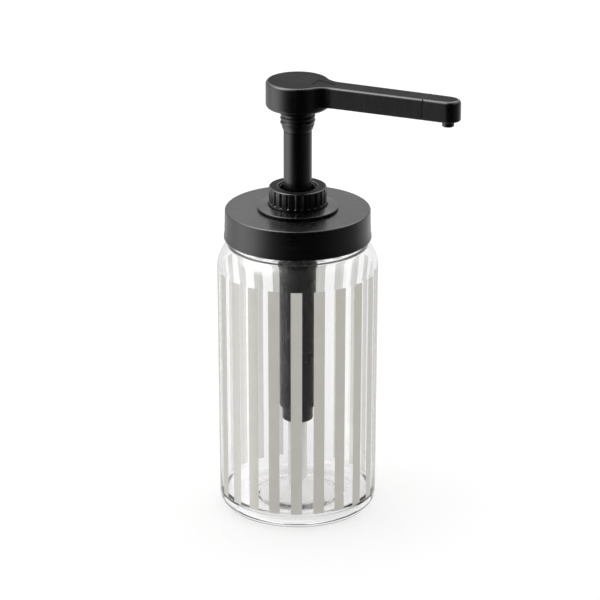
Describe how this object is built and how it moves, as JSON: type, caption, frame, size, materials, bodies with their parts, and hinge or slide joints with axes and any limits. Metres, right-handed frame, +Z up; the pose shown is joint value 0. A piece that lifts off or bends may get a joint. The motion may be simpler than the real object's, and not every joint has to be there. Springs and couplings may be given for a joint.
{
  "type": "condiment pump dispenser",
  "caption": "Glass jar with printed stripes and a screw lid that carries a long-spout plunger pump with ball valves, a return spring and a dip tube.",
  "frame": {"origin": "centre of the flat disc in the middle of the jar's underside, on the plane the jar stands on", "axes": "+Z up along the jar's and the pump's axis, +X along the spout at rest"},
  "size_m": [0.1562, 0.1, 0.2799],
  "materials": {
    "jar_glass": "clear polished glass",
    "stripe_enamel": "warm light grey enamel print on the glass",
    "lid_plastic": "satin black moulded plastic",
    "pump_plastic": "satin black moulded plastic",
    "natural_plastic": "milky translucent polyethylene",
    "white_seal": "white foamed gasket",
    "grey_rubber": "dark grey elastomer",
    "stainless": "bright stainless steel"
  },
  "bodies": {
    "jar": {"glass_jar": "jar_glass"},
    "seal": {"lid_seal": "white_seal"},
    "lid": {"jar_lid": "lid_plastic", "flange_adapter": "pump_plastic", "adapter_gasket": "white_seal", "adapter_nut": "pump_plastic", "pump_cylinder": "pump_plastic", "cylinder_gasket": "white_seal", "gland_insert": "pump_plastic", "rod_wiper": "grey_rubber", "foot_valve_housing": "pump_plastic", "foot_seal": "grey_rubber", "ball_retainer": "natural_plastic", "dip_tube": "natural_plastic", "return_spring": "stainless"},
    "washer": {"slip_washer": "white_seal"},
    "collar": {"retaining_collar": "pump_plastic"},
    "piston": {"piston_core": "natural_plastic", "piston_seal": "natural_plastic"},
    "head": {"pump_rod": "pump_plastic", "discharge_cage": "natural_plastic", "pump_head": "pump_plastic", "nozzle_tip": "pump_plastic", "nozzle_seal": "grey_rubber"},
    "outlet_valve": {"discharge_ball": "stainless"},
    "inlet_valve": {"inlet_ball": "stainless"}
  },
  "joints": [
    {"name": "lid_lift", "type": "slide", "parent": "jar", "child": "seal", "axis": [0, 0, 1], "range_m": [0, 0.0076]},
    {"name": "lid_unscrew", "type": "hinge", "parent": "seal", "child": "lid", "pos_m": [0, 0, 0.188], "axis": [0, 0, 1], "range_deg": [0, 540]},
    {"name": "collar_lift", "type": "slide", "parent": "lid", "child": "washer", "axis": [0, 0, 1], "range_m": [0, 0.0046]},
    {"name": "collar_unscrew", "type": "hinge", "parent": "washer", "child": "collar", "pos_m": [0, 0, 0.206], "axis": [0, 0, 1], "range_deg": [0, 540]},
    {"name": "pump_stroke", "type": "slide", "parent": "lid", "child": "piston", "axis": [0, 0, 1], "range_m": [-0.035, 0], "stiffness_N_per_m": 170, "springref_m": 0.035, "deforming": ["return_spring"]},
    {"name": "head_swivel", "type": "hinge", "parent": "piston", "child": "head", "pos_m": [0, 0, 0.25], "axis": [0, 0, 1], "continuous": true},
    {"name": "outlet_ball_lift", "type": "slide", "parent": "piston", "child": "outlet_valve", "axis": [0, 0, 1], "range_m": [0, 0.003]},
    {"name": "inlet_ball_lift", "type": "slide", "parent": "lid", "child": "inlet_valve", "axis": [0, 0, 1], "range_m": [0, 0.0045]}
  ],
  "couplings": [
    {"joint": "lid_lift", "follows": "lid_unscrew", "m_per_rad": 0.00079577},
    {"joint": "collar_lift", "follows": "collar_unscrew", "m_per_rad": 0.00047746}
  ]
}
